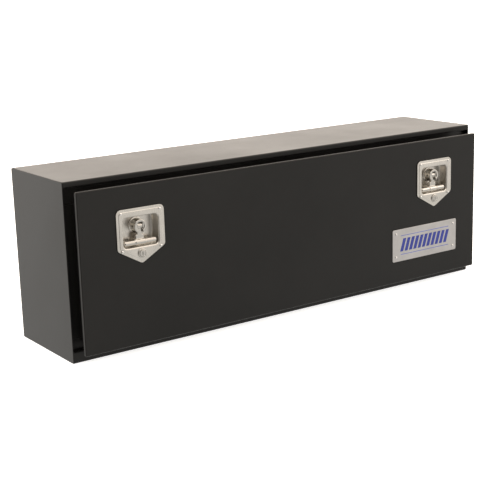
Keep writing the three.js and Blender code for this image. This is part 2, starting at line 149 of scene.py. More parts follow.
class SealSettings(PropertyGroup):
    """Sizes of the bulb seal."""

    width: length("Width", "Width of the foot and of the bulb", 12 * MM)
    corner: length("Corner", "Radius of the seal's corners", 12.1 * MM)
    foot: length("Foot", "Thickness of the strip that is glued down", 3 * MM)
    rise: length("Rise", "How far the foot's face rises towards the bulb", 1 * MM)
    waist: amount("Waist", "Where the bulb starts, as a share of the width", 0.14)


class HingeSettings(PropertyGroup):
    """Sizes of the piano hinge."""

    knuckles: IntProperty(name="Knuckles", description="Knuckles of both leaves", default=15, min=3)
    gap: length("Knuckle gap", "Play between two knuckles", 0.6 * MM)
    bore: length("Bore", "Radius of the hole for the pin", 1.7 * MM)
    chamfer: length("Chamfer", "Chamfer at each end of the pin", 0.3 * MM)
    leaf: length("Leaf", "Thickness of a leaf", 1.5 * MM)


class LatchSettings(PropertyGroup):
    """Sizes of a folding T-handle latch, in a frame whose origin is the handle's pivot."""

    shoulder: FloatProperty(name="Shoulder", description="Where the plate's sides end", default=-49 * MM)
    corner: length("Plate corner", "Radius of the plate's upper corners", 12 * MM)
    shoulder_corner: length("Shoulder corner", "Radius where the sides turn to the tip", 10 * MM)
    tip_corner: length("Tip corner", "Radius of the plate's lower tip", 9 * MM)
    sheet: length("Plate sheet", "Thickness of the plate", 1.5 * MM)
    rim: length("Rim", "Width of the plate's lowered rim", 6 * MM)
    rim_step: length("Rim step", "How much lower the rim is", 0.7 * MM)
    well_width: length("Well width", "Width of the drawn well", 89 * MM)
    well_top: length("Well top", "Top of the well above the pivot", 23 * MM)
    well_drop: length("Well drop", "Bottom of the well below the pivot", 45.4 * MM)
    well_corner: length("Well corner", "Radius of the well's corners", 9 * MM)
    lip: length("Well lip", "Radius of the well's drawn lip", 3.4 * MM)
    floor_round: length("Well floor round", "Radius round the well's floor", 4.5 * MM)
    draft: length("Well draft", "How far the well's wall leans in", 1.2 * MM)
    boss: length("Boss", "Radius of the hub's boss", 15.5 * MM)
    dish: length("Dish", "Radius of the dish in the hub's face", 10 * MM)
    dish_depth: length("Dish depth", "Depth of the dish in the hub's face", 2 * MM)
    flange: length("Hub flange", "Thickness of the hub's flange", 2.5 * MM)
    slot: length("Slot", "Half the width of the hub's slot", 6.5 * MM)
    slot_top: length("Slot top", "Top of the hub's slot above the pivot", 9 * MM)
    slot_depth: length("Slot depth", "Depth of the hub's slot", 18.6 * MM)
    bar: length("Bar", "Radius of the T-bar", 6.5 * MM)
    saddle: length("Saddle", "Radius of the T-bar's middle", 7.4 * MM)
    saddle_width: length("Saddle width", "Width of the T-bar's middle", 27 * MM)
    bar_end: length("Bar end", "Rounding of the T-bar's ends", 4 * MM)
    saddle_end: length("Saddle end", "Rounding of the saddle's ends", 1.5 * MM)
    web: length("Web", "Width of the stem where it meets the T-bar", 21 * MM)
    web_top: length("Web top", "Top of the wide web below the pivot", 18.5 * MM)
    tang: length("Tang", "Half the width of the stem in the hub's slot", 6.2 * MM)
    stem: length("Stem", "Half the thickness of the stem", 4 * MM)
    eye: length("Eye", "Radius of the stem's eye round the pivot pin", 7.5 * MM)
    spindle_bore: length("Spindle bore", "Radius of the hole for the spindle", 5.6 * MM)
    cast_voxel: length("Casting grain", "Size of the blend where cast shapes meet", 0.5 * MM)
    lock_body: length("Lock body", "Radius of the lock's body", 9 * MM)
    lock_play: length("Lock play", "Play round the lock's body and round its plug", 0.4 * MM)
    keyway: length("Keyway", "Width of the lock's keyway", 1.6 * MM)
    keyway_height: length("Keyway height", "Height of the lock's keyway", 8 * MM)
    keyway_depth: length("Keyway depth", "Depth of the lock's keyway", 7 * MM)


class BadgeSettings(PropertyGroup):
    """Sizes of the badge."""

    corner: length("Corner", "Radius of the badge's corners", 4.5 * MM)
    edge: length("Edge round", "Rounding of the badge's edge", 0.5 * MM)
    stripes: IntProperty(name="Stripes", description="Slanted stripes on the badge", default=11, min=1)
    stripe_width: length("Stripe width", "Width of a slanted stripe", 10.5 * MM)
    stripe_height: length("Stripe height", "Height of the band of stripes", 34 * MM)
    slant: length("Slant", "How far a stripe leans over its height", 11 * MM)
    pitch: length("Stripe pitch", "Distance between two stripes", 15.5 * MM)
    rule: length("Rule", "Thickness of the thin rules", 1.8 * MM)
    rule_length: length("Rule length", "Length of the thin rules", 172 * MM)
    rule_offset: length("Rule offset", "From the badge's middle to a rule", 25 * MM)
    print_height: length("Print height", "How proud the print is", 0.12 * MM)


class RivetSettings(PropertyGroup):
    """Sizes of a blind rivet."""

    head_seat: length("Head seat", "From the front of a frame's rivet to the sheet", 1.6 * MM)
    height: length("Head height", "Height of a rivet's domed head", 1.7 * MM)
    shank: length("Shank", "Radius of a rivet's shank", 1.6 * MM)
    dimple: length("Dimple", "Radius of the hole where the mandrel broke", 0.75 * MM)
    dimple_depth: length("Dimple depth", "Depth of that hole", 1.2 * MM)
    dimple_rim: length("Dimple rim", "Width of the chamfer round that hole", 0.3 * MM)
    sides: IntProperty(name="Sides", description="Facets round a rivet", default=28, min=8)


class StageSettings(PropertyGroup):
    """The plain studio round the box."""

    sky: colour("Sky", "Colour of the light from above", (1.0, 0.90, 0.80))
    ground: colour("Ground light", "Colour of the light from below", (1.0, 0.975, 0.93))
    back_light: amount("Back light", "Brightness of the studio behind the box", 1.9)
    front_light: amount("Front light", "Brightness of the studio in front of the box", 1.05)
    dark_side: amount("Dark side", "Share of the light left on the camera's side", 0.1)
    low_light: amount("Low light", "Share of the light that comes from below", 0.55)
    high_light: amount("High light", "Share of the light that comes from above", 1.2)
    key_power: amount("Key power", "Power of the key light", 22.0)
    floor_glow: amount("Floor glow", "How much the floor lights itself", 0.8)
    lens: amount("Lens", "Focal length in millimetres", 85.87)


# ---- Materials ---------------------------------------------------------------------------


PREFIX = "tool_box_"


class Wiring:
    """Adds nodes to a shader tree and feeds their inputs, each from a socket or with a value."""

    def __init__(self, tree):
        self.nodes, self.links = tree.nodes, tree.links

    def add(self, kind, inputs=None, **settings):
        node = self.nodes.new(kind)
        for name, value in settings.items():
            setattr(node, name, value)
        for socket, value in (inputs or {}).items():
            if isinstance(value, bpy.types.NodeSocket):
                self.links.new(value, node.inputs[socket])
            else:
                node.inputs[socket].default_value = value
        return node

    def spread(self, value, low, high, new_low, new_high, **settings):
        """The value, moved from one span to another."""
        inputs = {"Value": value, "From Min": low, "From Max": high, "To Min": new_low, "To Max": new_high}
        return self.add("ShaderNodeMapRange", inputs, **settings).outputs[0]

    def between(self, factor, first, second):
        """A colour between two, by a factor from 0 to 1."""
        node = self.add("ShaderNodeMix", {"Factor": factor}, data_type="RGBA")
        tones = [socket for socket in node.inputs if socket.type == "RGBA"]
        tones[0].default_value = (*first, 1.0)
        tones[1].default_value = (*second, 1.0)
        return next(socket for socket in node.outputs if socket.type == "RGBA")


class Finish(Wiring):
    """A material under construction: a Principled shader and the nodes that feed it."""

    def __init__(self, name, tone, roughness, metallic=0.0, **sockets):
        self.material = bpy.data.materials.new(PREFIX + name)
        self.material.use_nodes = True
        super().__init__(self.material.node_tree)
        self.shader = self.nodes["Principled BSDF"]
        self.shader.inputs["Base Color"].default_value = (*tone, 1.0)
        self.shader.inputs["Roughness"].default_value = roughness
        self.shader.inputs["Metallic"].default_value = metallic
        for socket, value in sockets.items():
            self.shader.inputs[socket.replace("_", " ")].default_value = value
        self.material.diffuse_color = (*tone, 1.0)
        self.place = self.add("ShaderNodeTexCoord").outputs["Object"]

    def stretched(self, scale):
        return self.add("ShaderNodeMapping", {"Vector": self.place, "Scale": scale}).outputs[0]

    def noise(self, scale, detail=2.0, roughness=0.5, place=None):
        inputs = {"Vector": place or self.place, "Scale": scale, "Detail": detail, "Roughness": roughness}
        return self.add("ShaderNodeTexNoise", inputs).outputs["Fac"]

    def mottled(self, noise, low, high, first, second):
        """One tone turning into another over that span of the noise."""
        return self.between(self.spread(noise, low, high, 0.0, 1.0), first, second)

    def bump(self, height, distance, strength, before=None):
        inputs = {"Height": height, "Distance": distance, "Strength": strength}
        if before is not None:
            inputs["Normal"] = before
        return self.add("ShaderNodeBump", inputs).outputs[0]

    def feed(self, **sockets):
        for socket, value in sockets.items():
            self.links.new(value, self.shader.inputs[socket.replace("_", " ")])
        return self.material


def shade(tone, share):
    """The tone made darker or lighter by that share."""
    return tuple(min(1.0, c * share) for c in tone)


def powder_coat(looks):
    """Black powder coat: a fine grain over a slow orange peel, with faint handling marks."""
    tone = tuple(looks.paint)
    dull = looks.paint_roughness
    finish = Finish("black_powder_coat", tone, dull, Specular_IOR_Level=looks.paint_specular)
    normal = finish.bump(finish.noise(looks.paint_grain, 2.0, 0.6), 0.06 * MM, 0.7)
    normal = finish.bump(finish.noise(looks.paint_grain / 6, 1.0), 0.16 * MM, 0.5, normal)
    marks = finish.noise(3.5, 5.0, 0.62)
    return finish.feed(
        Base_Color=finish.mottled(marks, 0.35, 0.7, tone, shade(tone, 1.4)),
        Roughness=finish.spread(marks, 0.3, 0.7, dull - 0.03, dull + 0.05),
        Normal=normal,
    )


def brushed(name, tone, dull, lines_along, grain=1000.0):
    """Metal with fine polishing lines, and a slow cloud in its tone."""
    finish = Finish(name, tone, dull, 1.0)
    lines = finish.noise(grain, 2.0, 0.65, finish.stretched(lines_along))
    cloud = finish.noise(30.0, 3.0, 0.6)
    return finish.feed(
        Base_Color=finish.mottled(cloud, 0.3, 0.7, shade(tone, 0.88), tone),
        Roughness=finish.spread(lines, 0.3, 0.7, dull - 0.06, dull + 0.08),
        Normal=finish.bump(lines, 0.02 * MM, 0.3),
    )


def stainless(looks):
    return brushed("satin_stainless", tuple(looks.steel), looks.steel_roughness, (1.0, 1.0, 0.05))


def polished(looks):
    """Polished stainless: sharp reflections, with smears and a trace of fine scratches."""
    tone = shade(tuple(looks.steel), 0.84)
    finish = Finish("polished_stainless", tone, 0.16, 1.0)
    smear = finish.noise(60.0, 4.0, 0.6)
    return finish.feed(
        Roughness=finish.spread(smear, 0.3, 0.7, 0.11, 0.24),
        Normal=finish.bump(finish.noise(900.0, 2.0), 0.01 * MM, 0.25),
    )


def zinc_plate(looks):
    """Zinc plating: patches of slightly different tone, with fine pitting."""
    tone = tuple(looks.zinc)
    dull = looks.zinc_roughness
    finish = Finish("zinc_plate", tone, dull, 1.0)
    patches = finish.noise(140.0, 3.0, 0.55)
    warm = (tone[0], tone[1] * 0.96, tone[2] * 0.86)
    return finish.feed(
        Base_Color=finish.mottled(patches, 0.35, 0.65, shade(tone, 0.9), warm),
        Roughness=finish.spread(patches, 0.3, 0.7, dull - 0.06, dull + 0.1),
        Normal=finish.bump(finish.noise(2500.0, 2.0), 0.02 * MM, 0.4),
    )


def rivet_metal(looks):
    """Bright aluminium, with fine pitting."""
    finish = Finish("rivet_metal", tuple(looks.rivet_metal), 0.2, 1.0)
    pits = finish.noise(1800.0, 3.0, 0.6)
    return finish.feed(
        Roughness=finish.spread(pits, 0.3, 0.7, 0.16, 0.28),
        Normal=finish.bump(pits, 0.01 * MM, 0.3),
    )


def rubber(looks):
    """Extruded rubber: matt, with fine drag lines and a little bloom."""
    tone = tuple(looks.rubber)
    finish = Finish("black_rubber", tone, 0.7)
    bloom = finish.noise(45.0, 4.0, 0.6)
    return finish.feed(
        Base_Color=finish.mottled(bloom, 0.4, 0.75, tone, shade(tone, 2.2)),
        Roughness=finish.spread(bloom, 0.3, 0.7, 0.62, 0.82),
        Normal=finish.bump(finish.noise(3000.0, 2.0), 0.03 * MM, 0.5),
    )


def badge_metal(looks):
    return brushed("badge_metal", tuple(looks.badge_metal), 0.34, (0.04, 1.0, 1.0), 1500.0)


def enamel(name, tone):
    """Printed enamel: smooth and glossy, with a trace of screen texture."""
    finish = Finish(name, tone, 0.3)
    screen = finish.noise(2200.0, 1.0)
    return finish.feed(
        Base_Color=finish.mottled(screen, 0.3, 0.7, shade(tone, 0.88), shade(tone, 1.08)),
        Normal=finish.bump(screen, 0.01 * MM, 0.3),
    )


MAKERS = {
    "black_powder_coat": powder_coat,
    "satin_stainless": stainless,
    "polished_stainless": polished,
    "zinc_plate": zinc_plate,
    "rivet_metal": rivet_metal,
    "black_rubber": rubber,
    "badge_metal": badge_metal,
    "badge_bold": lambda looks: enamel("badge_bold", tuple(looks.badge_bold)),
    "badge_pale": lambda looks: enamel("badge_pale", tuple(looks.badge_pale)),
}


def material(name):
    """The material of that name, made the first time it is asked for."""
    made = bpy.data.materials.get(PREFIX + name)
    return made or MAKERS[name](bpy.context.scene.tool_box_finish)


# ---- Shapes ------------------------------------------------------------------------------


def arc(centre, radius, start, end, steps):
    """Points on an arc, by angles in degrees."""
    points = []
    for k in range(steps + 1):
        angle = math.radians(start + (end - start) * k / steps)
        points.append((centre[0] + radius * math.cos(angle), centre[1] + radius * math.sin(angle)))
    return points


def circle(x, z, radius, steps):
    return arc((x, z), radius, 0, 360 * (steps - 1) / steps, steps - 1)


class Box2:
    """A flat rectangle by its four sides."""

    def __init__(self, left, right, bottom, top):
        self.left, self.right, self.bottom, self.top = left, right, bottom, top

    def inset(self, by):
        return Box2(self.left + by, self.right - by, self.bottom + by, self.top - by)

    def rounded(self, radius, inset=0.0, steps=6):
        """Its outline with round corners; an inset outline keeps the corners' centres."""
        r = radius - inset
        low, high = self.bottom + radius, self.top - radius
        left, right = self.left + radius, self.right - radius
        return (
            arc((right, low), r, -90, 0, steps)
            + arc((right, high), r, 0, 90, steps)
            + arc((left, high), r, 90, 180, steps)
            + arc((left, low), r, 180, 270, steps)
        )

    def outline(self, radius, steps=6):
        """The round-cornered outline as a function of its inset."""
        return lambda inset: self.rounded(radius, inset, steps)


def rounded_outline(corners, inset=0.0, steps=6):
    """A convex outline, anticlockwise, whose corners, listed as (x, z, radius), are rounded."""
    points = []
    for i, (x, z, radius) in enumerate(corners):
        here = Vector((x, z))
        before = (Vector(corners[i - 1][:2]) - here).normalized()
        after = (Vector(corners[(i + 1) % len(corners)][:2]) - here).normalized()
        half = before.angle(after) / 2
        centre = here + (before + after).normalized() * radius / math.sin(half)
        turn = 180 - math.degrees(half) * 2
        start = math.degrees(math.atan2(before.x, -before.y))
        points += arc(centre, radius - inset, start, start + turn, steps)
    return points


def bent_sheet(points, sheet, radius, steps):
    """The section of a bent sheet: one face follows the points, and the sheet is on their left."""
    places = [Vector(p) for p in points]
    heading = [(b - a).normalized() for a, b in zip(places, places[1:])]
    left = [Vector((-h.y, h.x)) for h in heading]
    face, back = [places[0]], [places[0] + left[0] * sheet]
    for place, before, after, normal in zip(places[1:-1], heading, heading[1:], left):
        turn = math.atan2(before.x * after.y - before.y * after.x, before.dot(after))
        side = math.copysign(1.0, turn)
        bend = radius + sheet if side > 0 else radius
        centre = place - before * bend * math.tan(abs(turn) / 2) + normal * side * bend
        for k in range(steps + 1):
            spoke = -side * normal
            spoke.rotate(Matrix.Rotation(turn * k / steps, 2))
            face.append(centre + spoke * bend)
            back.append(centre + spoke * (bend - side * sheet))
    face.append(places[-1])
    back.append(places[-1] + left[-1] * sheet)
    return face + back[::-1]


class Solid:
    """A closed mesh built from rings of points that lie across one axis."""

    def __init__(self, across="y", centre=(0.0, 0.0)):
        self.bm = bmesh.new()
        self.across = across
        self.centre = centre

    def place(self, u, v, depth):
        u, v = u + self.centre[0], v + self.centre[1]
        return Vector({"x": (depth, u, v), "y": (u, depth, v), "z": (u, v, depth)}[self.across])

    def ring(self, points, depth):
        return [self.bm.verts.new(self.place(u, v, depth)) for u, v in points]

    def bridge(self, first, second):
        count = len(first)
        for i in range(count):
            j = (i + 1) % count
            self.bm.faces.new((first[i], first[j], second[j], second[i]))

    def chain(self, rings):
        """Joins rings, given as (points, depth), in a row, and returns the first and the last."""
        made = [self.ring(points, depth) for points, depth in rings]
        for first, second in zip(made, made[1:]):
            self.bridge(first, second)
        return made[0], made[-1]

    def cap(self, outer, holes=()):
        """Fills the flat space inside a ring, round its holes."""
        if not holes:
            self.bm.faces.new(outer)
            return
        edges = []
        for ring in (outer, *holes):
            for i, vert in enumerate(ring):
                edges.append(self.bm.edges.get((vert, ring[(i + 1) % len(ring)])))
        bmesh.ops.triangle_fill(self.bm, use_beauty=True, edges=edges)

    def loop(self, rings):
        """Rings joined in a closed round, as on a seal or a tube."""
        first, last = self.chain(rings)
        self.bridge(last, first)
        return self

    def column(self, rings):
        """A chain of rings, closed at both ends."""
        first, last = self.chain(rings)
        self.cap(first)
        self.cap(last)
        return self

    def turn(self, profile, steps):
        """A solid of revolution from (radius, depth) points; its end rings are filled."""
        return self.column([(circle(0, 0, radius, steps), depth) for radius, depth in profile])

    def finish(self, name, look, smooth_below=35.0):
        """The object, facing out, with smooth shading wherever a fold is gentler than the angle."""
        bm = self.bm
        bmesh.ops.recalc_face_normals(bm, faces=bm.faces)
        for face in bm.faces:
            face.smooth = True
        mark_folds(bm, smooth_below)
        return to_object(bm, name, look)


def mark_folds(bm, smooth_below=35.0):
    """Makes every fold that is steeper than the angle a sharp one."""
    limit = math.radians(smooth_below)
    for edge in bm.edges:
        edge.smooth = len(edge.link_faces) == 2 and edge.calc_face_angle(0.0) < limit


def linked(name, data):
    """An object with that data, in the scene."""
    made = bpy.data.objects.new(name, data)
    bpy.context.scene.collection.objects.link(made)
    return made


def mesh_from(bm, name):
    """The finished mesh of a bmesh, which is used up."""
    mesh = bpy.data.meshes.new(name)
    bm.to_mesh(mesh)
    bm.free()
    return mesh


def to_object(bm, name, *looks):
    """An object with that mesh and those materials, in the scene."""
    mesh = mesh_from(bm, name)
    for look in looks:
        mesh.materials.append(material(look))
    return linked(name, mesh)


def soften_caps(piece):
    """Keeps wide flat faces flat beside the narrow rounded ones."""
    modifier = piece.modifiers.new("flat faces", "WEIGHTED_NORMAL")
    modifier.keep_sharp = True
    return piece


def settle(piece):
    """Turns a piece's modifiers into plain mesh."""
    evaluated = piece.evaluated_get(bpy.context.evaluated_depsgraph_get())
    mesh = bpy.data.meshes.new_from_object(evaluated)
    piece.modifiers.clear()
    old = piece.data
    piece.data = mesh
    bpy.data.meshes.remove(old)
    mesh.name = piece.name
    return piece


def subtract(piece, *tools):
    """Cuts the tools out of the piece, and removes them."""
    for tool in tools:
        modifier = piece.modifiers.new("cut", "BOOLEAN")
        modifier.operation = "DIFFERENCE"
        modifier.solver = "EXACT"
        modifier.object = tool
    settle(piece)
    for tool in tools:
        bpy.data.objects.remove(tool)
    bm = bmesh.new()
    bm.from_mesh(piece.data)
    mark_folds(bm)
    bm.to_mesh(piece.data)
    bm.free()
    return piece


def block(name, low, high):
    """A plain block, used only as a tool that cuts."""
    bm = bmesh.new()
    bmesh.ops.create_cube(bm, size=1.0)
    low, high = Vector(low), Vector(high)
    place = Matrix.Translation((low + high) / 2) @ Matrix.Diagonal((*(high - low), 1.0))
    bmesh.ops.transform(bm, matrix=place, verts=bm.verts)
    return to_object(bm, name)


def seat(piece, body, slot, *nodes):
    """Puts a finished piece on its body, and hides the frame's nodes that it stands for. Its slot is not
    used.
    """
    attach(piece, body)
    if nodes:
        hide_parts(*nodes)
    return piece


def refined(node, body, look, bevel, segments=2):
    """A frame node's shape with its facets merged and its edges broken by a small bevel."""
    bm = bmesh.new()
    bm.from_mesh(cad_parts[node].data)
    bmesh.ops.remove_doubles(bm, verts=bm.verts, dist=0.005 * MM)
    bmesh.ops.dissolve_limit(bm, angle_limit=math.radians(0.5), verts=bm.verts, edges=bm.edges)
    for face in bm.faces:
        face.smooth = True
    piece = to_object(bm, node + "_piece", look)
    modifier = piece.modifiers.new("edges", "BEVEL")
    modifier.width = bevel
    modifier.segments = segments
    modifier.limit_method = "ANGLE"
    modifier.angle_limit = math.radians(40)
    modifier.harden_normals = True
    return seat(settle(piece), body, look, node)


# ---- Geometry Nodes ----------------------------------------------------------------------


class Tree:
    """A Geometry Nodes tree with named inputs, from a mesh to a mesh."""

    KINDS = {
        "int": "NodeSocketInt",
        "material": "NodeSocketMaterial",
        "object": "NodeSocketObject",
        "vector": "NodeSocketVector",
    }

    def __init__(self, name, **inputs):
        self.tree = bpy.data.node_groups.new(name, "GeometryNodeTree")
        face = self.tree.interface
        face.new_socket(name="Geometry", in_out="INPUT", socket_type="NodeSocketGeometry")
        for label, kind in inputs.items():
            face.new_socket(name=label, in_out="INPUT", socket_type=self.KINDS[kind])
        face.new_socket(name="Geometry", in_out="OUTPUT", socket_type="NodeSocketGeometry")
        self.given = self.tree.nodes.new("NodeGroupInput").outputs
        self.result = self.tree.nodes.new("NodeGroupOutput").inputs[0]

    def add(self, kind, inputs, **settings):
        """A node with its settings; each of its inputs is fed from one socket or a list of them."""
        node = self.tree.nodes.new(kind)
        for name, value in settings.items():
            setattr(node, name, value)
        for socket, value in inputs.items():
            for one in value if isinstance(value, list) else [value]:
                self.tree.links.new(one, node.inputs[socket])
        return node

    def close(self, geometry):
        """Ends the tree: instances made real, then the material."""
        real = self.add("GeometryNodeRealizeInstances", {"Geometry": geometry}).outputs[0]
        inputs = {"Geometry": real, "Material": self.given["Material"]}
        painted = self.add("GeometryNodeSetMaterial", inputs).outputs[0]
        self.tree.links.new(painted, self.result)
        return self.tree


def grown(piece, tree, **values):
    """Runs a tree on a piece with the values given for its named inputs, and keeps plain mesh."""
    modifier = piece.modifiers.new("grow", "NODES")
    modifier.node_group = tree
    items = tree.interface.items_tree
    sockets = {item.name: item.identifier for item in items if item.in_out == "INPUT"}
    for label, value in values.items():
        modifier[sockets[label]] = value
    return settle(piece)


def copies_tree():
    """Copies of one shape, set on every point of a mesh."""
    tree = bpy.data.node_groups.get("copies_on_points")
    if tree:
        return tree
    made = Tree("copies_on_points", Shape="object", Material="material")
    shape = made.add("GeometryNodeObjectInfo", {"Object": made.given["Shape"]}).outputs["Geometry"]
    inputs = {"Points": made.given["Geometry"], "Instance": shape}
    return made.close(made.add("GeometryNodeInstanceOnPoints", inputs).outputs[0])


def row_tree():
    """Copies of one shape in a straight row, joined to the mesh that they belong to."""
    tree = bpy.data.node_groups.get("copies_in_a_row")
    if tree:
        return tree
    inputs = {"Shape": "object", "Count": "int", "Start": "vector", "Step": "vector"}
    made = Tree("copies_in_a_row", **inputs, Material="material")
    given = made.given
    inputs = {"Count": given["Count"], "Start Location": given["Start"], "Offset": given["Step"]}
    line = made.add("GeometryNodeMeshLine", inputs, mode="OFFSET")
    shape = made.add("GeometryNodeObjectInfo", {"Object": given["Shape"]}).outputs["Geometry"]
    inputs = {"Points": line.outputs[0], "Instance": shape}
    row = made.add("GeometryNodeInstanceOnPoints", inputs).outputs[0]
    both = made.add("GeometryNodeJoinGeometry", {"Geometry": [row, given["Geometry"]]}).outputs[0]
    return made.close(both)


def points_only(name, points):
    """An object of loose points, on which copies are set."""
    mesh = bpy.data.meshes.new(name)
    mesh.from_pydata([tuple(p) for p in points], [], [])
    return linked(name, mesh)


# ---- Pieces ------------------------------------------------------------------------------


def middle(node):
    """The middle of a frame node's box."""
    low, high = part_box(node)
    return (low + high) / 2


def slab(outline, near, far, edge, steps=3):
    """Rings of a flat slab whose edges are rounded; outline(inset) gives its points."""
    turns = [math.radians(90 * k / steps) for k in range(steps + 1)]
    rounding = [(outline(edge * (1 - math.sin(a))), edge * (1 - math.cos(a))) for a in turns]
    rings = [(points, near + deep) for points, deep in rounding]
    return rings + [(points, far - deep) for points, deep in rounding[::-1]]


def build_body(body):
    """The folded wrapper, its two end sheets and the two jambs."""
    flange = SEAL_HIGH.y + GAP
    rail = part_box("hinge_body_leaf")[0].z - GAP
    lip = SHELL_HIGH.z - body.top_rail
    section = bent_sheet(
        [
            (flange, JAMB_LOW.z - GAP),
            (flange, rail),
            (FRONT, rail),
            (FRONT, SHELL_LOW.z),
            (SHELL_HIGH.y, SHELL_LOW.z),
            (SHELL_HIGH.y, SHELL_HIGH.z),
            (FRONT, SHELL_HIGH.z),
            (FRONT, lip),
            (flange, lip),
            (flange, JAMB_HIGH.z + GAP),
        ],
        SHEET,
        body.bend,
        body.bend_steps,
    )
    wrapper = Solid("x").column([(section, SHELL_LOW.x), (section, SHELL_HIGH.x)])
    piece = soften_caps(wrapper.finish("body_wrapper", "black_powder_coat"))
    seat(piece, "body", "black_powder_coat", "body_shell")

    for side in SIDES:
        low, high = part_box(f"{side}_end_panel")
        outline = Box2(low.y, high.y, low.z, high.z).outline(body.bend + SHEET)
        sheet = Solid("x").column(slab(outline, low.x, high.x, body.edge))
        piece = soften_caps(sheet.finish(f"{side}_end_sheet", "black_powder_coat"))
        seat(piece, "body", "black_powder_coat", f"{side}_end_panel")

    jamb = bent_sheet(
        [(JAMB_LOW.x + SHEET, JAMB_LOW.y), (JAMB_LOW.x + SHEET, flange), (JAMB_HIGH.x, flange)],
        SHEET,
        body.bend,
        body.bend_steps,
    )
    for side, sign in (("left", 1), ("right", -1)):
        section = [(sign * x, y) for x, y in jamb]
        stile = Solid("z").column([(section, JAMB_LOW.z), (section, JAMB_HIGH.z)])
        piece = soften_caps(stile.finish(f"{side}_stile", "black_powder_coat"))
        seat(piece, "body", "black_powder_coat", f"{side}_jamb")


def build_seal(seal):
    """A bulb seal: a flat foot on the flange, a waist, and the round bulb that the door meets."""
    face = Box2(SEAL_LOW.x, SEAL_HIGH.x, SEAL_LOW.z, SEAL_HIGH.z)
    width, radius = seal.width, seal.width / 2
    foot = SEAL_HIGH.y - seal.foot
    waist = seal.waist * width
    section = [(0, foot), (0, SEAL_HIGH.y), (width, SEAL_HIGH.y), (width, foot)]
    section.append((width - waist, foot - seal.rise))
    section += arc((radius, SEAL_LOW.y + radius), radius, 50, -230, 20)
    section.append((waist, foot - seal.rise))
    rings = [(face.rounded(seal.corner, inset), depth) for inset, depth in section]
    piece = Solid("y").loop(rings).finish("bulb_seal", "black_rubber")
    seat(piece, "body", "black_rubber", "door_seal")


def pierced(solid, near, far, rings):
    """Holes through a sheet: each ring at both faces, with its wall, ready for the two caps."""
    fronts = [solid.ring(points, near) for points in rings]
    backs = [solid.ring(points, far) for points in rings]
    for front, back in zip(fronts, backs):
        solid.bridge(front, back)
    return fronts, backs


def rivet_holes(nodes, rivet):
    """Outlines of the holes for those rivets."""
    radius = rivet.shank + GAP
    return [circle(middle(node).x, middle(node).z, radius, 12) for node in nodes]


BADGE_RIVETS = [f"badge_rivet_{i}" for i in range(1, 5)]


def plate_rivets(side):
    return [f"{side}_plate_rivet_{i}" for i in range(1, 5)]


def lock_hole(side, latch):
    """Outline of the hole for a lock."""
    lock = middle(f"{side}_lock_housing")
    return circle(lock.x, lock.z, latch.lock_body + latch.lock_play, 32)


def well_box(side, latch):
    """The well's opening in the plane of the door."""
    pivot = middle(f"{side}_pivot_pin")
    half = latch.well_width / 2
    return Box2(pivot.x - half, pivot.x + half, pivot.z - latch.well_drop, pivot.z + latch.well_top)


def build_skin(door, latch, rivet):
    """The door's outer skin: a rolled edge, and a hole for everything that goes through it."""
    face = Box2(SKIN_LOW.x, SKIN_HIGH.x, SKIN_LOW.z, SKIN_HIGH.z)
    edge, inner = door.edge, door.edge - SHEET
    nick, back = door.nick, SKIN_HIGH.y
    centre = DOOR_FACE + edge
    profile = [(edge - edge * math.sin(a), centre - edge * math.cos(a)) for a in QUARTER]
    profile += [(0, back - nick), (nick, back), (SHEET - nick, back), (SHEET, back - nick)]
    profile += [(edge - inner * math.sin(a), centre - inner * math.cos(a)) for a in QUARTER[::-1]]
    skin = Solid("y")
    first, last = skin.chain([(face.rounded(door.corner, inset), depth) for inset, depth in profile])
    holes = rivet_holes(BADGE_RIVETS, rivet)
    grow = latch.sheet + GAP
    for side in SIDES:
        holes.append(well_box(side, latch).inset(-grow).rounded(latch.well_corner + grow))
        holes.append(lock_hole(side, latch))
        holes += rivet_holes(plate_rivets(side), rivet)
    fronts, backs = pierced(skin, DOOR_FACE, DOOR_FACE + SHEET, holes)
    skin.cap(first, fronts)
    skin.cap(last, backs)
    piece = soften_caps(skin.finish("door_outer_skin", "black_powder_coat"))
    seat(piece, "door", "black_powder_coat", "door_skin")


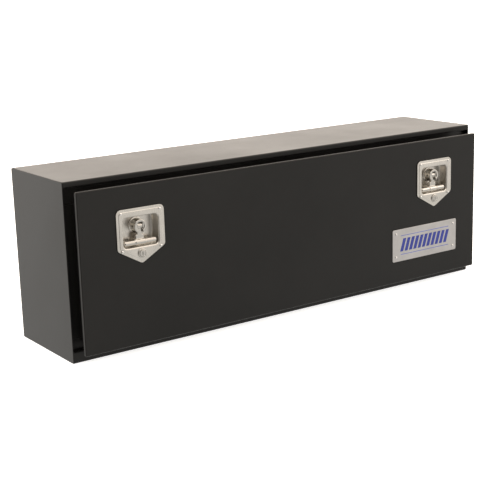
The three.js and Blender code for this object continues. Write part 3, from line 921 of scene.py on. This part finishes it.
def build_pan(door):
    """The door's inner pan: a flange, a folded wall and a back with a field pressed into it."""
    wall = Box2(SKIN_LOW.x, SKIN_HIGH.x, SKIN_LOW.z, SKIN_HIGH.z).inset(door.pan_inset)
    wall.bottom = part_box("hinge_door_leaf")[1].z + GAP
    flange = Box2(PAN_LOW.x, PAN_HIGH.x, PAN_LOW.z, PAN_HIGH.z)
    thick, fold, corner = door.pan_sheet, door.pan_fold, door.pan_corner
    deep, shallow = PAN_HIGH.y, PAN_LOW.y
    rings = []
    for a in QUARTER:
        inset = fold - (fold - thick) * math.sin(a)
        rings.append((wall.rounded(corner, inset), deep - fold + (fold - thick) * math.cos(a)))
    rings.append((wall.rounded(corner, thick), shallow))
    rings.append((flange.rounded(corner), shallow))
    rings.append((flange.rounded(corner), shallow + thick))
    rings.append((wall.rounded(corner), shallow + thick))
    for a in QUARTER[::-1]:
        rings.append((wall.rounded(corner, fold * (1 - math.sin(a))), deep - fold * (1 - math.cos(a))))
    pan = Solid("y")
    first, last = pan.chain(rings)
    spindles = [middle(f"{side}_spindle") for side in SIDES]
    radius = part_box("left_spindle")[1].x - spindles[0].x + door.spindle_room
    holes = [circle(place.x, place.z, radius, 24) for place in spindles]
    near_caps, far_caps = pierced(pan, deep - thick, deep, holes)
    field = wall.inset(door.field_margin)
    field.top = spindles[0].z - door.field_margin
    for depth, caps in ((deep - thick, near_caps), (deep, far_caps)):
        press = []
        for step in range(9):
            t = step / 8
            sunk = door.field_depth * t * t * (3 - 2 * t)
            press.append((field.rounded(corner, door.field_slope * t), depth - sunk))
        outer, floor = pan.chain(press)
        pan.cap(floor)
        caps.append(outer)
    pan.cap(first, near_caps)
    pan.cap(last, far_caps)
    piece = soften_caps(pan.finish("door_inner_tray", "black_powder_coat"))
    seat(piece, "door", "black_powder_coat", "door_inner_pan")


def build_hinge(hinge):
    """Both halves of the piano hinge: a leaf and its row of rolled knuckles, and the pin."""
    pin = middle("hinge_pin")
    low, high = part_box("hinge_body_leaf")
    radius = pin.z - low.z
    pitch = (high.x - low.x) / hinge.knuckles
    edge = radius + GAP
    rolled = [(edge, -radius)] + arc((0, 0), radius, -90, -385, 24)
    rolled += arc((0, 0), hinge.bore, -385, -90, 24) + [(edge, hinge.leaf - radius)]
    door_reach = pin.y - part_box("hinge_door_leaf")[0].y
    halves = (
        # node, name, body, the way its leaf points, its first knuckle, the leaf's reach
        ("hinge_body_leaf", "hinge_fixed_half", "body", 1, 0, high.y - pin.y),
        ("hinge_door_leaf", "hinge_moving_half", "door", -1, 1, door_reach),
    )
    for node, name, body, sign, first, reach in halves:
        section = [(sign * y, sign * z) for y, z in rolled]
        knuckle = Solid("x").column([(section, hinge.gap / 2), (section, pitch - hinge.gap / 2)])
        shape = knuckle.finish("knuckle", "zinc_plate")
        ends = sorted((sign * -radius, sign * (hinge.leaf - radius)))
        sides = sorted((sign * edge, sign * reach))
        leaf = Box2(*sides, *ends).outline(0.4 * MM, 2)
        plate = Solid("x", (pin.y, pin.z)).column(slab(leaf, low.x, high.x, 0.2 * MM))
        piece = plate.finish(name, "zinc_plate")
        grown(
            piece,
            row_tree(),
            Shape=shape,
            Count=(hinge.knuckles + 1 - first) // 2,
            Start=(low.x + first * pitch, pin.y, pin.z),
            Step=(2 * pitch, 0.0, 0.0),
            Material=material("zinc_plate"),
        )
        bpy.data.objects.remove(shape)
        seat(piece, body, "zinc_plate", node)
    low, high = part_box("hinge_pin")
    rod, chamfer = (high.z - low.z) / 2, hinge.chamfer
    profile = [(rod - chamfer, low.x), (rod, low.x + chamfer)]
    profile += [(rod, high.x - chamfer), (rod - chamfer, high.x)]
    piece = Solid("x", (pin.y, pin.z)).turn(profile, 20).finish("hinge_rod", "zinc_plate")
    seat(piece, "body", "zinc_plate", "hinge_pin")


def build_plate(side, latch, rivet):
    """The latch's plate: a lowered rim, a raised field and the drawn well."""
    low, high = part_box(f"{side}_latch_plate")
    pivot = middle(f"{side}_pivot_pin")
    front, back = low.y, low.y + latch.sheet
    shoulder = pivot.z + latch.shoulder
    half = (high.x - low.x) / 2
    tip = low.z  # where the two slanted sides meet, found step by step: its round ends at low.z
    for _ in range(20):
        slant = math.atan2(shoulder - tip, half)
        tip = low.z - latch.tip_corner * (1 / math.cos(slant) - 1)
    corners = [
        (pivot.x, tip, latch.tip_corner),
        (high.x, shoulder, latch.shoulder_corner),
        (high.x, high.z, latch.corner),
        (low.x, high.z, latch.corner),
        (low.x, shoulder, latch.shoulder_corner),
    ]
    rim = front + latch.rim_step
    edge = 0.45 * MM
    profile = [(latch.rim + 1.2 * MM, front), (latch.rim + 0.8 * MM, front + 0.08 * MM)]
    profile += [(latch.rim + 0.2 * MM, rim - 0.08 * MM), (latch.rim - 0.2 * MM, rim)]
    rounding = (0, 0.5, 1.0, math.pi / 2)
    profile += [(edge * (1 - math.sin(a)), rim + edge * (1 - math.cos(a))) for a in rounding]
    profile += [(0, back - 0.2 * MM), (0.2 * MM, back)]
    plate = Solid("y")
    first, last = plate.chain([(rounded_outline(corners, inset), depth) for inset, depth in profile])

    well = well_box(side, latch)
    lip, low_round, sheet = latch.lip, latch.floor_round, latch.sheet
    floor = high.y - sheet
    fronts, backs = [], []
    for thick, caps in ((0.0, fronts), (sheet, backs)):
        walls = []
        for a in QUARTER:
            walls.append((-lip + (lip - thick) * math.sin(a), front + lip - (lip - thick) * math.cos(a)))
        for a in QUARTER:
            inset = latch.draft + low_round - (low_round + thick) * math.cos(a)
            walls.append((inset, floor - low_round + (low_round + thick) * math.sin(a)))
        rings = [(well.rounded(latch.well_corner, inset), depth) for inset, depth in walls]
        caps.extend(plate.chain(rings))
    spindle = circle(pivot.x, pivot.z, latch.spindle_bore, 32)
    (hole_front,), (hole_back,) = pierced(plate, floor, floor + sheet, [spindle])
    plate.cap(fronts.pop(), [hole_front])
    plate.cap(backs.pop(), [hole_back])

    holes = [lock_hole(side, latch)] + rivet_holes(plate_rivets(side), rivet)
    near_caps, far_caps = pierced(plate, front, back, holes)
    plate.cap(first, fronts + near_caps)
    plate.cap(last, backs + far_caps)
    piece = soften_caps(plate.finish(f"{side}_pressed_plate", "satin_stainless"))
    seat(piece, "door", "stainless", f"{side}_latch_plate")


def build_hub(side, latch):
    """The hub: a flange, a round boss with a dished face, and the slot that holds the handle."""
    low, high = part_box(f"{side}_hub")
    pivot = middle(f"{side}_pivot_pin")
    face, base = low.y, high.y
    rim = (high.x - low.x) / 2
    step = base - latch.flange
    boss, dish, crown = latch.boss, latch.dish, 1.5 * MM
    profile = [(rim - 0.4 * MM, base), (rim, base - 0.4 * MM)]
    profile += [(rim, step + 0.7 * MM), (rim - 0.2 * MM, step + 0.2 * MM), (rim - 0.7 * MM, step)]
    profile += [(boss + 0.8 * MM, step), (boss + 0.2 * MM, step - 0.2 * MM), (boss, step - 0.8 * MM)]
    profile += [(boss - crown * (1 - math.cos(a)), face + crown * (1 - math.sin(a))) for a in CROWN]
    profile += [(dish + 0.7 * MM, face), (dish + 0.2 * MM, face + 0.2 * MM), (dish, face + 0.7 * MM)]
    profile += [(dish, face + latch.dish_depth - 0.4 * MM), (dish - 0.4 * MM, face + latch.dish_depth)]
    hub = Solid("y", (pivot.x, pivot.z)).turn(profile, 96).finish(f"{side}_boss", "polished_stainless")
    floor = face + latch.slot_depth
    slot = block(
        "slot",
        (pivot.x - latch.slot, face - MM, pivot.z - rim - MM),
        (pivot.x + latch.slot, floor, pivot.z + latch.slot_top),
    )
    pin_low, pin_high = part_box(f"{side}_pivot_pin")
    bore = (pin_high.z - pin_low.z) / 2 + GAP
    cross = Solid("x", (pivot.y, pivot.z)).turn([(bore, low.x - MM), (bore, high.x + MM)], 24)
    bore = latch.spindle_bore
    through = Solid("y", (pivot.x, pivot.z)).turn([(bore, floor - MM), (bore, base + MM)], 32)
    cuts = (slot, cross.finish("cross_bore", "zinc_plate"), through.finish("through_bore", "zinc_plate"))
    subtract(hub, *cuts)
    seat(hub, "door", "stainless", f"{side}_hub")


def build_handle(side, latch):
    """The cast T-handle: bar, saddle, stem and eye run into each other in soft blends."""
    low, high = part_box(f"{side}_handle")
    pivot = middle(f"{side}_pivot_pin")
    bar = (low.y + latch.saddle, low.z + latch.saddle)
    x, half = pivot.x, (high.x - low.x) / 2
    bm = bmesh.new()

    def join(solid):
        bmesh.ops.recalc_face_normals(solid.bm, faces=solid.bm.faces)
        mesh = mesh_from(solid.bm, "part")
        bm.from_mesh(mesh)
        bpy.data.meshes.remove(mesh)

    def rod(radius, reach, end_round, centre):
        ends = []
        for k in range(10):
            a = math.radians(10 * k)
            ends.append((radius - end_round * (1 - math.cos(a)), reach - end_round * (1 - math.sin(a))))
        profile = [(r, x - along) for r, along in ends[::-1]] + [(r, x + along) for r, along in ends]
        join(Solid("x", centre).turn(profile, 40))

    def stem(width, top):
        shape = Box2(pivot.y - latch.stem, pivot.y + latch.stem, bar[1], top).outline(2 * MM, 3)
        join(Solid("x").column(slab(shape, x - width, x + width, 1.2 * MM)))

    rod(latch.bar, half, latch.bar_end, bar)
    rod(latch.saddle, latch.saddle_width / 2, latch.saddle_end, bar)
    rod(latch.eye, latch.tang, 0.8 * MM, (pivot.y, pivot.z))
    stem(latch.tang, pivot.z)
    stem(latch.web / 2, pivot.z - latch.web_top)
    piece = to_object(bm, f"{side}_t_handle", "polished_stainless")
    cast = piece.modifiers.new("cast", "REMESH")
    cast.mode = "VOXEL"
    cast.voxel_size = latch.cast_voxel
    cast.use_smooth_shade = True
    smooth = piece.modifiers.new("smooth", "SMOOTH")
    smooth.factor = 0.5
    smooth.iterations = 8
    seat(settle(piece), f"{side}_handle", "stainless", f"{side}_handle")


def build_lock(side, latch):
    """The lock: a housing with a rounded rim, and the plug with its keyway."""
    low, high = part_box(f"{side}_lock_housing")
    plug_low, plug_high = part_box(f"{side}_lock_plug")
    centre = middle(f"{side}_lock_housing")
    rim = (high.x - low.x) / 2
    plug = (plug_high.x - plug_low.x) / 2
    bore = plug + latch.lock_play
    seat_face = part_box(f"{side}_latch_plate")[0].y - GAP
    rounding = 1.4 * MM
    profile = [(bore, low.y + 0.3 * MM), (bore + 0.3 * MM, low.y)]
    for a in CROWN:
        profile.append((rim - rounding * (1 - math.sin(a)), low.y + rounding * (1 - math.cos(a))))
    profile += [(rim, seat_face), (latch.lock_body, seat_face), (latch.lock_body, high.y), (bore, high.y)]
    rings = [(circle(0, 0, radius, 56), depth) for radius, depth in profile]
    housing = Solid("y", (centre.x, centre.z)).loop(rings).finish(f"{side}_lock_ring", "polished_stainless")
    seat(housing, "door", "zinc_plate", f"{side}_lock_housing")

    face = plug_low.y
    dome = [(plug, plug_high.y), (plug, face + 0.7 * MM), (plug - 0.15 * MM, face + 0.3 * MM)]
    dome += [(plug - 0.6 * MM, face + 0.08 * MM), (plug - 1.4 * MM, face), (plug - 2.6 * MM, face)]
    core = Solid("y", (centre.x, centre.z)).turn(dome, 56).finish(f"{side}_lock_core", "polished_stainless")
    half, tall = latch.keyway / 2, latch.keyway_height / 2
    key = block(
        "key",
        (centre.x - half, face - MM, centre.z - tall),
        (centre.x + half, face + latch.keyway_depth, centre.z + tall),
    )
    seat(subtract(core, key), f"{side}_lock_plug", "zinc_plate", f"{side}_lock_plug")


def build_rivets(name, nodes, body, rivet):
    """Blind rivets on the places of the frame's rivets."""
    low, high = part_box(nodes[0])
    radius = (high.x - low.x) / 2
    height, dimple = rivet.height, rivet.dimple
    front, mouth = -height, dimple + rivet.dimple_rim
    tail = (high.y - low.y) - rivet.head_seat
    profile = [(dimple * 0.9, front + rivet.dimple_depth), (dimple, front + rivet.dimple_rim)]
    profile.append((mouth, front))
    for a in QUARTER[1:]:
        reach = mouth + (radius - mouth) * math.sin(a)
        profile.append((reach, front + (height - 0.1 * MM) * (1 - math.cos(a))))
    profile += [(radius - 0.1 * MM, 0), (rivet.shank, 0), (rivet.shank, tail)]
    shape = Solid("y").turn(profile, rivet.sides).finish("rivet", "rivet_metal")
    places = [Vector((middle(n).x, low.y + rivet.head_seat, middle(n).z)) for n in nodes]
    points = points_only(name, places)
    piece = grown(points, copies_tree(), Shape=shape, Material=material("rivet_metal"))
    bpy.data.objects.remove(shape)
    seat(piece, body, "stainless", *nodes)


def build_badge(badge, rivet):
    """The badge: a brushed plate with slanted stripes between two thin rules."""
    low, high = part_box("badge_plate")
    face = Box2(low.x, high.x, low.z, high.z)
    plate = Solid("y")
    first, last = plate.chain(slab(face.outline(badge.corner), low.y, high.y, badge.edge))
    fronts, backs = pierced(plate, low.y, high.y, rivet_holes(BADGE_RIVETS, rivet))
    plate.cap(first, fronts)
    plate.cap(last, backs)
    piece = soften_caps(plate.finish("badge_sheet", "badge_metal"))
    seat(piece, "door", "printed_badge", "badge_plate")

    centre = middle("badge_plate")
    near = low.y - badge.print_height
    half, lean = badge.stripe_width / 2, badge.slant / 2
    tall = badge.stripe_height / 2
    corners = [(-half - lean, -tall), (half - lean, -tall), (half + lean, tall), (-half + lean, tall)]
    stripe = Solid("y").column([(corners, near), (corners, low.y)]).finish("stripe", "badge_bold")
    run = badge.pitch * (badge.stripes - 1)
    bands = to_object(bmesh.new(), "badge_stripes")
    grown(
        bands,
        row_tree(),
        Shape=stripe,
        Count=badge.stripes,
        Start=(centre.x - run / 2, 0.0, centre.z),
        Step=(badge.pitch, 0.0, 0.0),
        Material=material("badge_bold"),
    )
    bpy.data.objects.remove(stripe)
    seat(bands, "door", "printed_badge")

    across = badge.rule_length / 2
    bar = Box2(-across, across, -badge.rule / 2, badge.rule / 2)
    rule = Solid("y").column([(bar.rounded(badge.rule * 0.45, 0, 3), d) for d in (near, low.y)])
    shape = rule.finish("rule", "badge_pale")
    places = [Vector((centre.x, 0, centre.z + sign * badge.rule_offset)) for sign in (-1, 1)]
    points = points_only("badge_rules", places)
    rules = grown(points, copies_tree(), Shape=shape, Material=material("badge_pale"))
    bpy.data.objects.remove(shape)
    seat(rules, "door", "printed_badge")


def build_latch(side, latch, rivet):
    """One whole latch, from its plate to the keeper that its cam pulls on."""
    build_plate(side, latch, rivet)
    build_hub(side, latch)
    build_handle(side, latch)
    build_lock(side, latch)
    build_rivets(f"{side}_plate_rivets", plate_rivets(side), "door", rivet)
    refined(f"{side}_latch_gasket", "door", "black_rubber", 0.15 * MM, 1)
    for node, body, bevel in (
        ("pivot_pin", "door", 0.3 * MM),
        ("spindle", f"{side}_spindle", 0.4 * MM),
        ("cam", f"{side}_spindle", 0.5 * MM),
        ("cam_nut", f"{side}_spindle", 0.5 * MM),
        ("keeper", "body", 0.4 * MM),
    ):
        refined(f"{side}_{node}", body, "zinc_plate", bevel)


# ---- Stage -------------------------------------------------------------------------------


def stage_mesh(name, bm, look, hidden_from):
    """A piece of the surroundings, unseen by those kinds of ray."""
    mesh = mesh_from(bm, name)
    mesh.materials.append(look)
    piece = linked(name, mesh)
    for ray in hidden_from:
        setattr(piece, f"visible_{ray}", False)


# The studio's light changes with direction: over these spans of it, and towards its dark side
DEPTH_SPAN = (-0.75, 0.55)
RISE_SPAN = (-0.5, 0.5)
TINT_SPAN = (-0.3, 0.3)
DARK_SPAN = (0.45, 0.95)
DARK_SIDE = Vector((-0.60, -0.74, 0.30))


def build_world(stage):
    """A soft studio: bright behind the box, dimmer in front, dark on the camera's own side."""
    world = bpy.data.worlds.new("studio")
    bpy.context.scene.world = world
    world.use_nodes = True
    wiring = Wiring(world.node_tree)
    way = wiring.add("ShaderNodeTexCoord").outputs["Generated"]
    axes = wiring.add("ShaderNodeSeparateXYZ", {0: way}).outputs
    inputs = {0: way, 1: DARK_SIDE}
    facing = wiring.add("ShaderNodeVectorMath", inputs, operation="DOT_PRODUCT").outputs["Value"]

    def ramp(socket, span, first, last):
        return wiring.spread(socket, *span, first, last, interpolation_type="SMOOTHSTEP")

    def times(first, second):
        return wiring.add("ShaderNodeMath", {0: first, 1: second}, operation="MULTIPLY").outputs[0]

    depth = ramp(axes["Y"], DEPTH_SPAN, stage.front_light, stage.back_light)
    rise = ramp(axes["Z"], RISE_SPAN, stage.low_light, stage.high_light)
    dark = ramp(facing, DARK_SPAN, 1.0, stage.dark_side)
    tint = wiring.between(ramp(axes["Z"], TINT_SPAN, 0.0, 1.0), stage.ground, stage.sky)
    background = wiring.nodes["Background"]
    wiring.links.new(times(times(depth, rise), dark), background.inputs["Strength"])
    wiring.links.new(tint, background.inputs["Color"])


FLOOR_RADIUS = 44.0
SURROUND_RADIUS = 45.0


def build_surround(stage):
    """A pale floor under the box, and a white dome that only the camera sees."""
    white = bpy.data.materials.new("white_surround")
    white.use_nodes = True
    white.node_tree.nodes.clear()
    wiring = Wiring(white.node_tree)
    glow = wiring.add("ShaderNodeEmission").outputs[0]
    wiring.add("ShaderNodeOutputMaterial", {"Surface": glow})
    dome = bmesh.new()
    bmesh.ops.create_uvsphere(dome, u_segments=48, v_segments=24, radius=SURROUND_RADIUS)
    unseen = ("diffuse", "glossy", "transmission", "volume_scatter", "shadow")
    stage_mesh("surround", dome, white, unseen)

    floor = bmesh.new()
    bmesh.ops.create_circle(floor, cap_ends=True, radius=FLOOR_RADIUS, segments=96)
    bmesh.ops.translate(floor, verts=floor.verts, vec=(0.0, 0.0, CAD_BOX[0].z - 0.5 * MM))
    pale = Finish("pale_floor", (0.9, 0.9, 0.9), 0.8)
    pale.shader.inputs["Emission Color"].default_value = (1.0, 1.0, 1.0, 1.0)
    pale.shader.inputs["Emission Strength"].default_value = stage.floor_glow
    stage_mesh("floor", floor, pale.material, ("glossy",))


LAMP_COLOUR = (1.0, 0.97, 0.93)
LAMPS = (
    # name, place, where it points, size, share of the key's power
    ("key", (-1.4, -2.4, 3.2), (0.0, 0.0, 0.2), (1.8, 1.4), 1.0),
    ("side_fill", (2.6, -2.2, 1.6), (0.0, 0.0, 0.25), (1.4, 1.4), 0.25),
)


def build_lamps(stage):
    """Soft rectangular lamps, unseen by the camera."""
    for name, place, target, size, share in LAMPS:
        data = bpy.data.lights.new(name, "AREA")
        data.shape = "RECTANGLE"
        data.size, data.size_y = size
        data.energy = stage.key_power * share
        data.color = LAMP_COLOUR
        lamp = linked(name, data)
        lamp.location = place
        lamp.rotation_euler = (Vector(target) - Vector(place)).to_track_quat("-Z", "Y").to_euler()
        lamp.visible_camera = False


# The camera's place from the middle of the body's front, and its sideways and upward directions
CAMERA_PLACE = Vector((-1.6635, -2.1775, 0.8391))
CAMERA_RIGHT = Vector((0.81749, -0.57519, -0.02959))
CAMERA_UP = Vector((0.15694, 0.17302, 0.97234))


def build_camera(stage):
    data = bpy.data.cameras.new("camera")
    data.lens = stage.lens
    data.sensor_width = 36.0
    data.clip_end = 200.0
    camera = linked("camera", data)
    axes = (CAMERA_RIGHT, CAMERA_UP, CAMERA_RIGHT.cross(CAMERA_UP))
    turn = Matrix(axes).transposed().to_4x4()
    camera.matrix_world = Matrix.Translation(CAMERA_PLACE + Vector((0, FRONT, 0))) @ turn
    bpy.context.scene.camera = camera


def build_stage(stage):
    """The world, the floor and its surround, the lamps and the camera."""
    bpy.context.scene.view_settings.view_transform = "Standard"
    build_world(stage)
    build_surround(stage)
    build_lamps(stage)
    build_camera(stage)


# ---- Operators and panel -----------------------------------------------------------------


class TOOLBOX_OT_body(Operator):
    """Builds the folded body, its end sheets and its jambs"""

    bl_idname = "tool_box.body"
    bl_label = "Body"

    def execute(self, context):
        build_body(context.scene.tool_box_body)
        return {"FINISHED"}


class TOOLBOX_OT_seal(Operator):
    """Builds the rubber bulb seal round the opening"""

    bl_idname = "tool_box.seal"
    bl_label = "Seal"

    def execute(self, context):
        build_seal(context.scene.tool_box_seal)
        return {"FINISHED"}


class TOOLBOX_OT_door(Operator):
    """Builds the door's outer skin and inner pan"""

    bl_idname = "tool_box.door"
    bl_label = "Door"

    def execute(self, context):
        scene = context.scene
        build_skin(scene.tool_box_door, scene.tool_box_latch, scene.tool_box_rivet)
        build_pan(scene.tool_box_door)
        return {"FINISHED"}


class TOOLBOX_OT_hinge(Operator):
    """Builds the piano hinge under the door"""

    bl_idname = "tool_box.hinge"
    bl_label = "Hinge"

    def execute(self, context):
        build_hinge(context.scene.tool_box_hinge)
        return {"FINISHED"}


class TOOLBOX_OT_latches(Operator):
    """Builds the two T-handle latches"""

    bl_idname = "tool_box.latches"
    bl_label = "Latches"

    def execute(self, context):
        for side in SIDES:
            build_latch(side, context.scene.tool_box_latch, context.scene.tool_box_rivet)
        return {"FINISHED"}


class TOOLBOX_OT_badge(Operator):
    """Builds the printed badge and its rivets"""

    bl_idname = "tool_box.badge"
    bl_label = "Badge"

    def execute(self, context):
        scene = context.scene
        build_badge(scene.tool_box_badge, scene.tool_box_rivet)
        build_rivets("badge_rivets", BADGE_RIVETS, "door", scene.tool_box_rivet)
        return {"FINISHED"}


class TOOLBOX_OT_stage(Operator):
    """Builds the world, the floor, the lamps and the camera"""

    bl_idname = "tool_box.stage"
    bl_label = "Stage"

    def execute(self, context):
        build_stage(context.scene.tool_box_stage)
        return {"FINISHED"}


OPERATORS = (
    TOOLBOX_OT_body,
    TOOLBOX_OT_seal,
    TOOLBOX_OT_door,
    TOOLBOX_OT_hinge,
    TOOLBOX_OT_latches,
    TOOLBOX_OT_badge,
    TOOLBOX_OT_stage,
)

SETTINGS = {
    "tool_box_finish": FinishSettings,
    "tool_box_body": BodySettings,
    "tool_box_seal": SealSettings,
    "tool_box_door": DoorSettings,
    "tool_box_hinge": HingeSettings,
    "tool_box_latch": LatchSettings,
    "tool_box_rivet": RivetSettings,
    "tool_box_badge": BadgeSettings,
    "tool_box_stage": StageSettings,
}


class TOOLBOX_PT_panel(Panel):
    """Lists the steps that build the tool box"""

    bl_label = "Tool box"
    bl_idname = "TOOLBOX_PT_panel"
    bl_space_type = "VIEW_3D"
    bl_region_type = "UI"
    bl_category = "Tool box"

    def draw(self, context):
        for operator in OPERATORS:
            self.layout.operator(operator.bl_idname)


def register():
    for settings in SETTINGS.values():
        bpy.utils.register_class(settings)
    for name, settings in SETTINGS.items():
        setattr(bpy.types.Scene, name, PointerProperty(type=settings))
    for kind in (*OPERATORS, TOOLBOX_PT_panel):
        bpy.utils.register_class(kind)


def unregister():
    for kind in (TOOLBOX_PT_panel, *reversed(OPERATORS)):
        bpy.utils.unregister_class(kind)
    for name in SETTINGS:
        delattr(bpy.types.Scene, name)
    for settings in reversed(list(SETTINGS.values())):
        bpy.utils.unregister_class(settings)


def main():
    register()
    for operator in OPERATORS:
        module, name = operator.bl_idname.split(".")
        getattr(getattr(bpy.ops, module), name)()
    bpy.context.view_layer.update()


if __name__ == "__main__":
    main()
